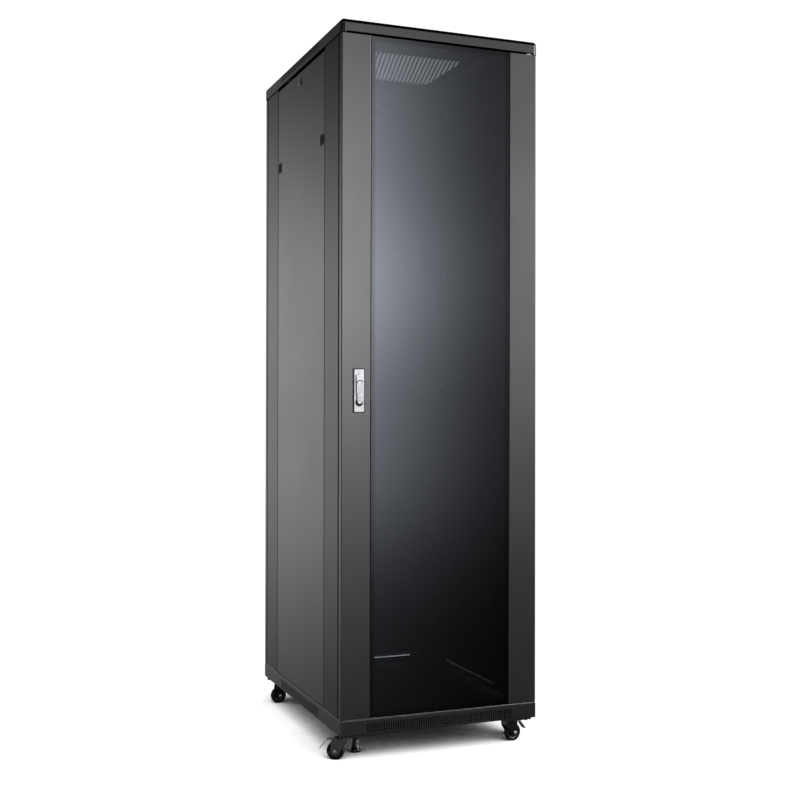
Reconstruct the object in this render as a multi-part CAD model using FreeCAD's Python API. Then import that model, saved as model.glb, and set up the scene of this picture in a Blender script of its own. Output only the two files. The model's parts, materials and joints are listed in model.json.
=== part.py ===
import FreeCAD, Part
import os
from math import cos, sin, tan, acos, radians, sqrt

# Floor-standing 19-inch rack cabinet, 42 units high: a bolted frame on casters, a glass front
# door, a steel rear door and two lift-off side panels. Millimetres.
# Frame: origin on the floor under the middle of the cabinet, +X to the right seen from the
# front, +Y towards the rear door, +Z up. The front door faces -Y.

# ---- Driving dimensions -------------------------------------------------------------------

# Overall
width = 600.0
depth = 800.0
height = 2055.0

# Sheet metal
sheet = 1.5
frame_sheet = 2.0
panel_sheet = 1.2
bend = 1.0

# Base
base_height = 44.0
base_flange = 40.0
base_lower_flange = 24.0
base_corner_length = 160.0
anchor_radius = 6.0
anchor_inset = 14.0
anchor_spacing_y = 400.0
floor_level = 13.0
corner_plate_thickness = 3.0
corner_plate_lip = 10.0
corner_plate_depth = 125.0

# Roof cover
cover_overhang = 3.0
cover_skirt = 38.4
cover_lip = 34.5
cover_round = 12.0

# Doors
door_thickness = 20.0
door_gap = 6.5
door_floor_gap = 1.4
door_head_gap = 1.6
stile_width = 86.0
glass_ledge = 14.0
glass_thickness = 4.6
gasket_thickness = 1.0
hinge_inset = 12.0
hinge_pin_radius = 4.0
hinge_pin_reach = 18.0
hinge_block_height = 22.0
hinge_block_length = 30.0
stiffener_height = 42.0

# Posts and rails
post_width = 48.0
post_depth = 126.0
post_lip = 12.0
panel_ledge = 12.0
top_rail_height = 24.0
top_rail_depth = 26.0
spacer_x = 200.0
spacer_radius = 6.0
cross_rail_height = 40.0

# 19-inch equipment rails
unit_pitch = 44.45
rail_hole_spacing = 465.1
rail_clear_width = 450.0
rail_flange = 37.0
rail_leg = 40.0
rail_hole = 9.5
rail_setback = 110.0
rear_rail_setback = 160.0

# Side panels
panel_gap = 2.5
panel_depth = 12.0
panel_clearance = 4.0
panel_head_gap = 9.0
rib_width = 40.0
rib_depth = 8.0

# Vents
slot_width = 3.0
slot_pitch = 7.0
base_slot_band = (5.0, 32.0)
rear_slot_band = (31.0, 37.5)
front_vent_length = 454.0
side_vent_length = 402.0
skirt_slot_band = (11.5, 29.5)
roof_field_width = 356.0
roof_field_depth = 299.0
roof_field_centre = 6.0
roof_slot_length = 33.0
roof_slot_width = 4.0
roof_column_pitch = 6.7
roof_row_pitch = 50.0
roof_opening_margin = 9.0
roof_plate_margin = 25.0

# Cable entries
cable_entry_width = 240.0
floor_entry = (150.0, 320.0)
floor_entry_covered = 100.0
roof_entry = (245.0, 325.0)
cable_cover_margin = 12.0

# Swing handle on the front door
handle_inset = 51.0
handle_centre = 1029.5
handle_rim = (34.0, 123.0, 3.0)
handle_plate_size = (28.0, 117.0, 1.2)
lever_width = 19.4
lever_tip_width = 16.0
lever_thickness = 5.5
lever_rise = 0.3
lever_pin_radius = 1.2
hub_shaft_radius = 4.0
key_radius = 5.5
finger_recess_radius = 11.7
cam_reach = 27.0
cam_thickness = 2.5

# Quarter-turn locks of the rear door and the side panels
lock_head_radius = 13.0
lock_head_height = 2.0
lock_body_radius = 9.5
rear_lock_inset = 40.0
panel_lock_drop = 28.0
panel_cam_reach = 22.0

# Slide latches of the side panels
latch_drop = 252.1
latch_window = (36.0, 33.0)
latch_window_inset = 4.0
latch_travel = 8.0
latch_plate = 2.0

# Casters
wheel_radius = 25.0
caster_headroom = 28.0
wheel_width = 18.0
caster_trail = 18.0
crown_radius = 20.0
crown_height = 8.0
stem_radius = 6.0
stem_flange_radius = 21.0
stem_flange_height = 4.6
axle_radius = 4.0
fork_gap = 22.0
fork_sheet = 2.5
pedal_width = 16.0
pedal_sheet = 3.0
pedal_pin_radius = 2.5
caster_setback = 58.0

# Levelling feet
foot_radius = 17.0
foot_clearance = 3.0
foot_disc = 8.0
foot_stem_radius = 8.0
foot_nut_radius = 12.0
foot_nut_height = 10.0

# Clearances
running_fit = 0.05
part_gap = 0.3

# ---- Derived levels -----------------------------------------------------------------------

base_underside = wheel_radius * 2 + caster_headroom
left = -width / 2
right = width / 2
front = -depth / 2
back = depth / 2
base_top = base_underside + base_height
floor_top = base_underside + floor_level + sheet
skirt_bottom = height - cover_skirt
lip_bottom = height - cover_lip
cover_ceiling = height - sheet
door_bottom = base_top + door_floor_gap
door_top = skirt_bottom - door_head_gap
door_back = front + door_thickness
post_front = door_back + door_gap
post_end = post_front + post_depth
panel_edge = post_end + panel_gap
panel_bottom = base_top + panel_gap
panel_top = skirt_bottom - panel_head_gap
ledge_x = left + panel_depth + panel_clearance
cross_outer = ledge_x + frame_sheet
cross_inner = -rail_clear_width / 2 - rail_flange - frame_sheet
top_rail_top = panel_top + top_rail_height - 6.0
top_rail_bottom = top_rail_top - top_rail_height
plate_underside = base_underside - corner_plate_thickness
crown_top = plate_underside - stem_flange_height - 0.4
crown_bottom = crown_top - crown_height
handle_x = left + handle_inset
opening_x = width / 2 - stile_width
stiffener_levels = (door_bottom + 473.6, door_top - 506.0)
lowest_rail, highest_rail = base_top + 48.0, top_rail_bottom - 61.6
cross_rail_heights = (lowest_rail, (lowest_rail + highest_rail) / 2, highest_rail)
rail_foot = base_top + 12.0
rack_units = int((top_rail_bottom - rail_foot) / unit_pitch)
lever_top = handle_centre + 48.2
lever_bottom = handle_centre - 37.5
lever_pivot = handle_centre + 25.5
key_height = handle_centre - 13.5
rear_lock_height = handle_centre
latch_height = panel_top - latch_drop
foot_stem_top = base_top - 24.0

# Caster places: name, x, y, direction in which the wheel trails, brake pedal or not
casters = (
    ("front_left", left + 24.0, front + caster_setback, 148.0, True),
    ("front_right", right - 62.0, front + caster_setback, 13.0, True),
    ("rear_left", left + 48.0, back - caster_setback, 187.0, False),
    ("rear_right", right - 48.0, back - caster_setback, 172.0, False),
)
# Levelling feet: name, x, y
feet = (
    ("front_left", left + 83.0, front + 114.0),
    ("front_right", right - 14.0, front + 123.0),
    ("rear_left", left + 104.0, back - 100.0),
    ("rear_right", right - 104.0, back - 100.0),
)


# ---- Helpers ------------------------------------------------------------------------------

PLANES = {"xy": (0, 1, 2), "yz": (1, 2, 0), "xz": (0, 2, 1)}


def point(plane, a, b, c):
    """The 3-D point at a, b in a plane and c along its normal axis."""
    axes = PLANES[plane]
    values = [0.0, 0.0, 0.0]
    for axis, value in zip(axes, (a, b, c)):
        values[axis] = value
    return FreeCAD.Vector(*values)


def box(x, y, z):
    """A box between two limits along each axis."""
    corner = FreeCAD.Vector(min(x), min(y), min(z))
    return Part.makeBox(abs(x[1] - x[0]), abs(y[1] - y[0]), abs(z[1] - z[0]), corner)


def rod(radius, start, end):
    """A cylinder from one point to another."""
    start = FreeCAD.Vector(*start)
    run = FreeCAD.Vector(*end) - start
    return Part.makeCylinder(radius, run.Length, start, run)


def tube(outer, inner, start, end):
    """A cylinder with a bore right through it."""
    run = FreeCAD.Vector(*end) - FreeCAD.Vector(*start)
    over = run.normalize()
    first = FreeCAD.Vector(*start) - over
    last = FreeCAD.Vector(*end) + over
    return rod(outer, start, end).cut(rod(inner, first, last))


def unit(a, b):
    """The unit vector from 2-D point a to 2-D point b."""
    run = (b[0] - a[0], b[1] - a[1])
    length = sqrt(run[0] ** 2 + run[1] ** 2)
    return run[0] / length, run[1] / length


def extruded(outline, plane, limits):
    """Extrudes a closed outline of (a, b, corner radius) points along the plane's normal."""
    count = len(outline)
    level = min(limits)
    marks = []
    for i in range(count):
        before, here, after = outline[i - 1], outline[i], outline[(i + 1) % count]
        arriving, leaving = unit(before, here), unit(here, after)
        radius = here[2] if len(here) > 2 else 0.0
        dot = arriving[0] * leaving[0] + arriving[1] * leaving[1]
        turn = acos(max(-1.0, min(1.0, dot)))
        if radius <= 0 or turn < 1e-6:
            marks.append([(here[0], here[1])])
            continue
        setback = radius * tan(turn / 2)
        start = (here[0] - arriving[0] * setback, here[1] - arriving[1] * setback)
        end = (here[0] + leaving[0] * setback, here[1] + leaving[1] * setback)
        inward = unit(here, ((start[0] + end[0]) / 2, (start[1] + end[1]) / 2))
        reach = radius / cos(turn / 2) - radius
        middle = (here[0] + inward[0] * reach, here[1] + inward[1] * reach)
        marks.append([start, middle, end])
    edges = []
    for i in range(count):
        mark, following = marks[i], marks[(i + 1) % count]
        if len(mark) == 3:
            arc = [point(plane, p[0], p[1], level) for p in mark]
            edges.append(Part.Arc(*arc).toShape())
        start = point(plane, *mark[-1], level)
        end = point(plane, *following[0], level)
        if (end - start).Length > 1e-6:
            edges.append(Part.LineSegment(start, end).toShape())
    face = Part.Face(Part.Wire(edges))
    return face.extrude(point(plane, 0, 0, abs(limits[1] - limits[0])))


def bent_sheet(path, thickness, plane, limits, inner=bend):
    """Sheet metal folded along a path; the path is the sheet's right-hand face."""
    count = len(path)
    runs = [unit(path[i], path[i + 1]) for i in range(count - 1)]
    normals = [(-run[1], run[0]) for run in runs]
    near, far = [], []
    for i in range(count):
        before, after = normals[max(i - 1, 0)], normals[min(i, count - 2)]
        dot = before[0] * after[0] + before[1] * after[1]
        shift = thickness / (1 + dot)
        far_point = (path[i][0] + (before[0] + after[0]) * shift,
                     path[i][1] + (before[1] + after[1]) * shift)
        near_radius, far_radius = 0.0, 0.0
        if 0 < i < count - 1:
            left_turn = runs[i - 1][0] * runs[i][1] - runs[i - 1][1] * runs[i][0] > 0
            near_radius = inner + thickness if left_turn else inner
            far_radius = inner if left_turn else inner + thickness
        near.append((path[i][0], path[i][1], near_radius))
        far.append((far_point[0], far_point[1], far_radius))
    return extruded(near + far[::-1], plane, limits)


def mirrored(shape, axis):
    """The shape mirrored across the middle plane square to an axis."""
    normal = FreeCAD.Vector(1, 0, 0) if axis == "x" else FreeCAD.Vector(0, 1, 0)
    return shape.mirror(FreeCAD.Vector(0, 0, 0), normal)


def turned(shape, angle=180.0):
    """The shape turned about the vertical axis through the origin."""
    copy = shape.copy()
    copy.rotate(FreeCAD.Vector(0, 0, 0), FreeCAD.Vector(0, 0, 1), angle)
    return copy


def row(length, pitch, centre=0.0):
    """Places of evenly pitched items centred within a length."""
    count = int(length / pitch)
    first = centre - (count - 1) * pitch / 2
    return [first + i * pitch for i in range(count)]


def sharp_edges(shape, keep):
    """The shape's edges whose middle point passes a test."""
    return [edge for edge in shape.Edges if keep(edge.CenterOfMass)]


def soften(shape, radius, keep):
    """Rounds the edges whose middle point passes a test."""
    return shape.makeFillet(radius, sharp_edges(shape, keep))


def write(node, *solids):
    """Writes one node as a STEP file, one closed solid for each physical piece."""
    pieces = []
    for shape in solids:
        pieces.extend(shape.Solids)
    for solid in pieces:
        if not solid.isValid() or solid.Volume <= 0:
            raise ValueError(f"{node} holds a bad solid")
    whole = pieces[0] if len(pieces) == 1 else Part.makeCompound(pieces)
    whole.exportStep(f"parts/{node}.step")


# ---- Base ---------------------------------------------------------------------------------

def end_rail(slot_band):
    """Front rail of the base: a folded channel with a row of upright slots."""
    path = [(front + base_lower_flange, base_underside), (front, base_underside),
            (front, base_top), (front + base_flange, base_top)]
    rail = bent_sheet(path[::-1], sheet, "yz", (left + sheet, right - sheet))
    low, high = (base_underside + level for level in slot_band)
    slots = []
    for x in row(front_vent_length, slot_pitch):
        span = (x - slot_width / 2, x + slot_width / 2)
        slots.append(box(span, (front - 1, front + sheet + 1), (low, high)))
    return rail.cut(slots)


def side_rail():
    """Left rail of the base; its flanges stop short of the front and rear rails."""
    path = [(left + base_lower_flange, base_underside), (left, base_underside),
            (left, base_top), (left + base_flange, base_top)]
    rail = bent_sheet(path[::-1], sheet, "xz", (front, back))
    cutters = []
    for sign in (-1, 1):
        ends = (sign * (back - base_flange - part_gap), sign * (back + 1))
        cutters.append(box((left + sheet, 0), ends, (0, base_top + 1)))
        ends = (sign * (back - base_corner_length), sign * (back + 1))
        cutters.append(box((left + sheet, 0), ends, (0, base_top - base_height / 2)))
    low, high = (base_underside + level for level in base_slot_band)
    for y in row(side_vent_length, slot_pitch):
        span = (y - slot_width / 2, y + slot_width / 2)
        cutters.append(box((left - 1, left + sheet + 1), span, (low, high)))
    for y in (-anchor_spacing_y / 2, anchor_spacing_y / 2):
        place = (left + anchor_inset, y, base_underside - 1)
        cutters.append(rod(anchor_radius, place, (place[0], y, base_underside + sheet + 1)))
    return rail.cut(cutters)


def floor_plate():
    """Floor sheet with a cable entry and a clear hole over every levelling foot."""
    edge = part_gap + sheet
    level = (floor_top - sheet, floor_top)
    plate = box((left + edge, right - edge), (front + edge, back - edge), level)
    half = cable_entry_width / 2
    cutters = [box((-half, half), floor_entry, (level[0] - 1, level[1] + 1))]
    for name, x, y in feet:
        radius = foot_stem_radius + 1.5
        cutters.append(rod(radius, (x, y, level[0] - 1), (x, y, level[1] + 1)))
    return plate.cut(cutters)


def floor_brackets():
    """Angle strips that carry the floor sheet between the base rails."""
    strips = []
    for sign in (-1, 1):
        x = (sign * (right - sheet), sign * (right - sheet - 14.0))
        for y in (-120.0, 120.0):
            strips.append(box(x, (y - 40, y + 40), (floor_top - sheet - 2, floor_top - sheet)))
    return strips


def cable_covers():
    """Sliding covers over the floor and roof cable entries."""
    half = cable_entry_width / 2 + cable_cover_margin
    floor_span = (floor_entry[0] - cable_cover_margin, floor_entry[0] + floor_entry_covered)
    floor_cover = box((-half, half), floor_span, (floor_top, floor_top + sheet))
    roof_span = (roof_entry[0] - cable_cover_margin, roof_entry[1] + cable_cover_margin)
    roof_cover = box((-half, half), roof_span, (cover_ceiling - sheet, cover_ceiling))
    return floor_cover, roof_cover


def corner_plate(caster, foot):
    """Folded plate under a base corner that holds one caster and one levelling foot."""
    side = 1 if caster[1] > 0 else -1
    end = 1 if caster[2] > 0 else -1
    reach = [abs(caster[1]), abs(foot[1])]
    inner = min(reach) - 30.0
    x = (side * inner, side * (right - 4.0))
    outer_y = end * (back - 20.0)
    y = (outer_y, outer_y - end * corner_plate_depth)
    plate = box(x, y, (plate_underside, base_underside))
    lip = box(x, (outer_y, outer_y - end * corner_plate_thickness),
              (base_underside - corner_plate_lip, base_underside))
    stem = rod(stem_radius, (caster[1], caster[2], 0), (caster[1], caster[2], base_top))
    clear = rod(foot_stem_radius + 0.5, (foot[1], foot[2], 0), (foot[1], foot[2], base_top))
    return plate.fuse(lip).removeSplitter().cut([stem, clear])


# ---- Frame --------------------------------------------------------------------------------

def post():
    """Front left corner post, a folded profile, with the strip that backs the panel's edge."""
    path = [(left + post_width, post_front + post_lip), (left + post_width, post_front),
            (left, post_front), (left, post_end), (ledge_x, post_end),
            (ledge_x, post_end - post_lip)]
    level = (base_top, cover_ceiling - cover_round / 2)
    profile = bent_sheet(path[::-1], frame_sheet, "xy", level)
    strip = box((ledge_x, ledge_x + frame_sheet), (post_end - post_lip, post_end + panel_ledge),
                level)
    return [profile, strip]


def top_rails():
    """Folded rails that tie the posts together under the roof cover."""
    level = (top_rail_bottom, top_rail_top)
    inner_x = left + post_width + part_gap
    end_path = [(post_front + top_rail_depth, level[1]), (post_front, level[1]),
                (post_front, level[0]), (post_front + top_rail_depth, level[0])]
    end = bent_sheet(end_path, frame_sheet, "yz", (inner_x, -inner_x))
    side_x = cross_outer
    side_path = [(side_x + top_rail_depth, level[1]), (side_x, level[1]),
                 (side_x, level[0]), (side_x + top_rail_depth, level[0])]
    reach = -post_front - top_rail_depth - 2.0
    side = bent_sheet(side_path, frame_sheet, "xz", (-reach, reach))
    return end, mirrored(end, "y"), side, mirrored(side, "x")


def cross_rails():
    """Horizontal channels, three a side, that carry the equipment rails."""
    rails = []
    half = cross_rail_height / 2
    for level in cross_rail_heights:
        path = [(cross_outer, level + 8.0), (cross_outer, level + half),
                (cross_inner, level + half), (cross_inner, level - half),
                (cross_outer, level - half), (cross_outer, level - 8.0)]
        rail = bent_sheet(path[::-1], sheet, "xz", (post_front + 20.0, -post_front - 20.0))
        rails += [rail, mirrored(rail, "x")]
    return rails


def rack_rail():
    """Front left equipment rail: an angle with three square holes for every unit."""
    face_y = post_front + rail_setback
    inner = -rail_clear_width / 2
    outer = inner - rail_flange - frame_sheet
    foot = rail_foot
    head = foot + rack_units * unit_pitch
    path = [(inner, face_y), (outer, face_y), (outer, face_y + rail_leg)]
    rail = bent_sheet(path[::-1], frame_sheet, "xy", (foot, head))
    holes = []
    centre = -rail_hole_spacing / 2
    for unit_number in range(rack_units):
        middle = foot + (unit_number + 0.5) * unit_pitch
        for step in (-15.875, 0.0, 15.875):
            z = middle + step
            holes.append(box((centre - rail_hole / 2, centre + rail_hole / 2),
                             (face_y - 1, face_y + frame_sheet + 1),
                             (z - rail_hole / 2, z + rail_hole / 2)))
    return rail.cut(holes)


def top_cover():
    """Pressed roof cover with rounded edges, slotted skirts and two openings."""
    over = cover_overhang
    outer = box((left - over, right + over), (front - over, back + over), (skirt_bottom, height))
    outer = soften(outer, cover_round, lambda middle: middle.z > skirt_bottom + 1)
    inside = over - sheet
    inner = box((left - inside, right + inside), (front - inside, back + inside),
                (skirt_bottom - 20, cover_ceiling))
    inner = soften(inner, cover_round - sheet, lambda middle: middle.z > skirt_bottom - 15)
    cover = outer.cut(inner)
    clear_x = right - cover_round
    cutters = []
    for sign in (-1, 1):
        y = (sign * (back - cover_round), sign * (back + over + 1))
        cutters.append(box((-clear_x, clear_x), y, (skirt_bottom - 1, lip_bottom)))
    field = roof_opening_margin
    half_x = roof_field_width / 2 + field
    half_y = roof_field_depth / 2 + field
    cutters.append(box((-half_x, half_x), (roof_field_centre - half_y, roof_field_centre + half_y),
                       (cover_ceiling - 1, height + 1)))
    half = cable_entry_width / 2
    cutters.append(box((-half, half), roof_entry, (cover_ceiling - 1, height + 1)))
    low, high = (skirt_bottom + level for level in skirt_slot_band)
    for y in row(side_vent_length, slot_pitch):
        span = (y - slot_width / 2, y + slot_width / 2)
        for sign in (-1, 1):
            x = (sign * (right + over - sheet - 1), sign * (right + over + 1))
            cutters.append(box(x, span, (low, high)))
    return cover.cut(cutters)


def roof_vent_plate():
    """Perforated sheet under the roof opening, with staggered slots."""
    half_x = roof_field_width / 2 + roof_plate_margin
    half_y = roof_field_depth / 2 + roof_plate_margin
    level = (cover_ceiling - panel_sheet, cover_ceiling)
    plate = box((-half_x, half_x), (roof_field_centre - half_y, roof_field_centre + half_y), level)
    slots = []
    first_y = roof_field_centre - roof_field_depth / 2
    last_y = roof_field_centre + roof_field_depth / 2
    for number, x in enumerate(row(roof_field_width, roof_column_pitch)):
        shift = 0.0 if number % 2 else roof_row_pitch / 2
        start = first_y + shift
        while start + roof_slot_length <= last_y + 0.5:
            slots.append(box((x - roof_slot_width / 2, x + roof_slot_width / 2),
                             (start, start + roof_slot_length), (level[0] - 1, level[1] + 1)))
            start += roof_row_pitch
    return plate.cut(slots)


def hinge_pins():
    """Fixed hinge pins of one door, lower and upper, at the front right corner."""
    x, y = right - hinge_inset, front + door_thickness / 2
    lower = rod(hinge_pin_radius, (x, y, base_top), (x, y, base_top + hinge_pin_reach))
    plate_level = (door_top + part_gap, lip_bottom - part_gap)
    bracket = box((x - 16.0, right - 2.0), (front + 3.0, post_front), plate_level)
    tongue = box((x - 16.0, right - post_width - 2.0), (post_front - 2, post_front), plate_level)
    upper = rod(hinge_pin_radius, (x, y, plate_level[1]), (x, y, door_top - hinge_pin_reach))
    return lower, bracket.fuse(upper).removeSplitter()


def frame_fasteners():
    """Nuts on the caster stems and foot stems, and spacers between the top rails and the roof."""
    pieces = []
    for name, x, y, angle, braked in casters:
        pieces.append(tube(10.0, stem_radius, (x, y, base_underside), (x, y, base_underside + 9.0)))
    for name, x, y in feet:
        nut = (x, y, base_underside + foot_nut_height)
        pieces.append(tube(foot_nut_radius, foot_stem_radius + running_fit,
                           (x, y, base_underside), nut))
    spacer_y = post_front + top_rail_depth / 2
    for x in (-spacer_x, spacer_x):
        for y in (-spacer_y, spacer_y):
            pieces.append(rod(spacer_radius, (x, y, top_rail_top), (x, y, cover_ceiling)))
    return pieces


# ---- Front door ---------------------------------------------------------------------------

def door_stile():
    """Left stile of the front door, folded with a ledge that carries the glass."""
    ledge_y = front + part_gap + glass_thickness + gasket_thickness
    inner = -opening_x + glass_ledge
    path = [(left + 14.0, door_back), (left, door_back), (left, front), (-opening_x, front),
            (-opening_x, ledge_y), (inner, ledge_y), (inner, door_back),
            (inner - 10.0, door_back)]
    return bent_sheet(path, sheet, "xy", (door_bottom, door_top))


def door_rail():
    """Lower rail behind the glass, between the stiles."""
    ledge_y = front + part_gap + glass_thickness + gasket_thickness
    end = opening_x - glass_ledge - part_gap
    level = door_bottom + glass_ledge
    path = [(door_back, door_bottom + 10.0), (door_back, door_bottom), (ledge_y, door_bottom),
            (ledge_y, level), (door_back, level)]
    return bent_sheet(path[::-1], sheet, "yz", (-end, end))


def door_glass():
    """Toughened glass pane, flush with the stiles."""
    side = opening_x - 0.8
    plane = (front + part_gap, front + part_gap + glass_thickness)
    pane = box((-side, side), plane, (door_bottom + 0.5, door_top - 0.5))
    edges = sharp_edges(pane, lambda middle: abs(abs(middle.x) - side) < 0.01
                        and abs(middle.y - plane[0]) < 0.01)
    return pane.makeChamfer(0.8, edges)


def glass_gasket():
    """Flat rubber ring between the glass and the door frame."""
    start = front + part_gap + glass_thickness
    plane = (start, start + gasket_thickness)
    side = opening_x - bend - sheet / 2
    outer = box((-side, side), plane, (door_bottom + 0.5, door_top - 0.5))
    inner_side = opening_x - glass_ledge + 0.5
    inner = box((-inner_side, inner_side), (plane[0] - 1, plane[1] + 1),
                (door_bottom + glass_ledge - 0.5, door_top - glass_ledge + 0.5))
    return outer.cut(inner)


def end_block(x, bored):
    """Block inside a stile end; the hinge side has a bore for the pin."""
    inside = sheet + part_gap
    y = (front + inside, door_back - inside)
    low = box(x, y, (door_bottom, door_bottom + hinge_block_height))
    high = box(x, y, (door_top - hinge_block_height, door_top))
    if bored:
        pin_x, pin_y = right - hinge_inset, front + door_thickness / 2
        bore = rod(hinge_pin_radius + running_fit, (pin_x, pin_y, 0), (pin_x, pin_y, height))
        low, high = low.cut(bore), high.cut(bore)
    return low, high


def end_blocks():
    """Hinge blocks in the right stile and plain end blocks in the left one."""
    inside = sheet + part_gap
    bored = end_block((right - inside - hinge_block_length, right - inside), True)
    plain = end_block((left + inside, left + inside + hinge_block_length), False)
    return bored + plain


# ---- Swing handle -------------------------------------------------------------------------

def centred_box(size, y):
    """A box of the handle, centred on the handle's axis."""
    return box((handle_x - size[0] / 2, handle_x + size[0] / 2), y,
               (handle_centre - size[1] / 2, handle_centre + size[1] / 2))


def hub_axis_z():
    """Height of the axis that the swing lever turns about."""
    return lever_pivot + 9.0


def handle_rim_piece():
    """Black rim that seals the handle to the door skin."""
    y = (front - handle_rim[2], front)
    rim = soften(centred_box(handle_rim, y), 3.0,
                 lambda middle: abs(middle.y - (y[0] + y[1]) / 2) < 0.01)
    shaft = rod(hub_shaft_radius + running_fit, (handle_x, front - 20, hub_axis_z()),
                (handle_x, front + 5, hub_axis_z()))
    return rim.cut(shaft)


def handle_plate():
    """Bright face plate with the finger recess under the lever's tip."""
    y = (front - handle_rim[2] - handle_plate_size[2], front - handle_rim[2])
    plate = soften(centred_box(handle_plate_size, y), 2.0,
                   lambda middle: abs(middle.y - (y[0] + y[1]) / 2) < 0.01)
    recess_z = lever_bottom + 5.0
    recess = rod(finger_recess_radius, (handle_x, y[0] - 1, recess_z),
                 (handle_x, y[1] + 1, recess_z))
    shaft = rod(hub_shaft_radius + running_fit, (handle_x, front - 20, hub_axis_z()),
                (handle_x, front + 5, hub_axis_z()))
    return plate.cut([recess, shaft])


def lever_planes():
    """Front and back planes of the lever in its rest position."""
    rear = front - handle_rim[2] - handle_plate_size[2] - lever_rise
    return rear - lever_thickness, rear


def handle_hub():
    """Turning head of the handle with a clevis, a pivot pin and a shaft through the door."""
    y = lever_planes()
    half = lever_width / 2
    middle_y = (y[0] + y[1]) / 2
    top = lever_top
    outline = [(handle_x - half, lever_pivot, 0), (handle_x - half, top - 5.0, 2.0),
               (handle_x - 4.5, top - 4.0, 1.0), (handle_x, top, 1.5),
               (handle_x + 4.5, top - 4.0, 1.0), (handle_x + half, top - 5.0, 2.0),
               (handle_x + half, lever_pivot, 0)]
    head = extruded(outline, "xz", y)
    ears = rod(lever_thickness / 2, (handle_x - half, middle_y, lever_pivot),
               (handle_x + half, middle_y, lever_pivot))
    slot_half = half - 3.5
    slot = box((handle_x - slot_half, handle_x + slot_half), (y[0] - 1, y[1] + 1),
               (lever_pivot - 5.0, lever_pivot + lever_thickness / 2 + 0.6))
    shaft_z = hub_axis_z()
    shaft = rod(hub_shaft_radius, (handle_x, middle_y, shaft_z),
                (handle_x, front + sheet + 12.0, shaft_z))
    pin = rod(lever_pin_radius, (handle_x - half, middle_y, lever_pivot),
              (handle_x + half, middle_y, lever_pivot))
    return head.fuse(ears).cut(slot).fuse([shaft, pin]).removeSplitter()


def handle_cam():
    """Locking cam on the inner end of the hub's shaft."""
    z = hub_axis_z()
    y = (front + sheet + 8.0, front + sheet + 8.0 + cam_thickness)
    outline = [(handle_x - 8.0, z + 8.0, 7.0), (handle_x - 8.0, z - cam_reach, 3.0),
               (handle_x + 8.0, z - cam_reach, 3.0), (handle_x + 8.0, z + 8.0, 7.0)]
    cam = extruded(outline, "xz", y)
    return cam.cut(rod(hub_shaft_radius, (handle_x, y[0] - 1, z), (handle_x, y[1] + 1, z)))


def handle_lever():
    """Lever that lifts off the plate about the pivot pin, with a bore for the key cylinder."""
    y = lever_planes()
    middle_y = (y[0] + y[1]) / 2
    half, tip = lever_width / 2, lever_tip_width / 2
    shoulder = lever_pivot - lever_thickness / 2 - 0.65
    outline = [(handle_x - half, shoulder, 1.0), (handle_x - half, shoulder - 22.0, 20.0),
               (handle_x - tip, lever_bottom + 16.0, 20.0), (handle_x - tip, lever_bottom, tip * 0.98),
               (handle_x + tip, lever_bottom, tip * 0.98), (handle_x + tip, lever_bottom + 16.0, 20.0),
               (handle_x + half, shoulder - 22.0, 20.0), (handle_x + half, shoulder, 1.0)]
    blade = extruded(outline, "xz", y)
    blade = soften(blade, 1.4, lambda middle: abs(middle.y - y[0]) < 0.01
                   and middle.z < shoulder - 0.5)
    tongue_half = half - 3.5 - part_gap
    knuckle = rod(lever_thickness / 2, (handle_x - tongue_half, middle_y, lever_pivot),
                  (handle_x + tongue_half, middle_y, lever_pivot))
    tongue = box((handle_x - tongue_half, handle_x + tongue_half), y, (shoulder - 1.0, lever_pivot))
    bore = rod(lever_pin_radius + running_fit, (handle_x - half, middle_y, lever_pivot),
               (handle_x + half, middle_y, lever_pivot))
    keyway = rod(key_radius + running_fit, (handle_x, y[0] - 1, key_height),
                 (handle_x, y[1] + 1, key_height))
    return blade.fuse([knuckle, tongue]).removeSplitter().cut([bore, keyway])


def key_cylinder():
    """Lock cylinder in the lever, with a key slot in its face."""
    y = lever_planes()
    body = rod(key_radius, (handle_x, y[0] - 0.6, key_height), (handle_x, y[1] - 0.2, key_height))
    slot = box((handle_x - 0.8, handle_x + 0.8), (y[0] - 1.0, y[0] + 2.0),
               (key_height - 3.2, key_height + 3.2))
    return body.cut(slot)


# ---- Rear door ----------------------------------------------------------------------------

def rear_door_panel():
    """Rear door skin, a folded steel tray, built at the rear with its hinge at the left."""
    inner_y = back - door_thickness
    outer = box((left, right), (inner_y, back), (door_bottom, door_top))
    outer = soften(outer, bend + sheet, lambda middle: abs(middle.y - back) < 0.01)
    hollow = box((left + sheet, right - sheet), (inner_y - 1, back - sheet),
                 (door_bottom + sheet, door_top - sheet))
    lock_x = right - rear_lock_inset
    bore = rod(lock_body_radius + running_fit, (lock_x, inner_y - 5, rear_lock_height),
               (lock_x, back + 5, rear_lock_height))
    pin_x, pin_y = left + hinge_inset, back - door_thickness / 2
    pins = rod(hinge_pin_radius + 1.0, (pin_x, pin_y, 0), (pin_x, pin_y, height))
    skin = outer.cut([hollow, bore, pins])
    lips = []
    for side in (-1, 1):
        lip = box((side * (right - sheet), side * (right - 16.0)), (inner_y, inner_y + sheet),
                  (door_bottom + sheet, door_top - sheet))
        lips.append(lip)
    return skin.fuse(lips).removeSplitter()


def rear_door_stiffeners():
    """Hat-section stiffeners across the inside of the rear door."""
    pieces = []
    foot, deep = 12.0, 14.0
    y = back - sheet
    reach = right - sheet - 16.0
    for level in stiffener_levels:
        low, high = level - stiffener_height / 2, level + stiffener_height / 2
        path = [(y, low - foot), (y, low), (y - deep, low), (y - deep, high), (y, high),
                (y, high + foot)]
        hat = bent_sheet([(a - sheet if a == y else a, b) for a, b in path], sheet, "yz",
                         (-reach, reach))
        pieces.append(hat)
    return pieces


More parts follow.
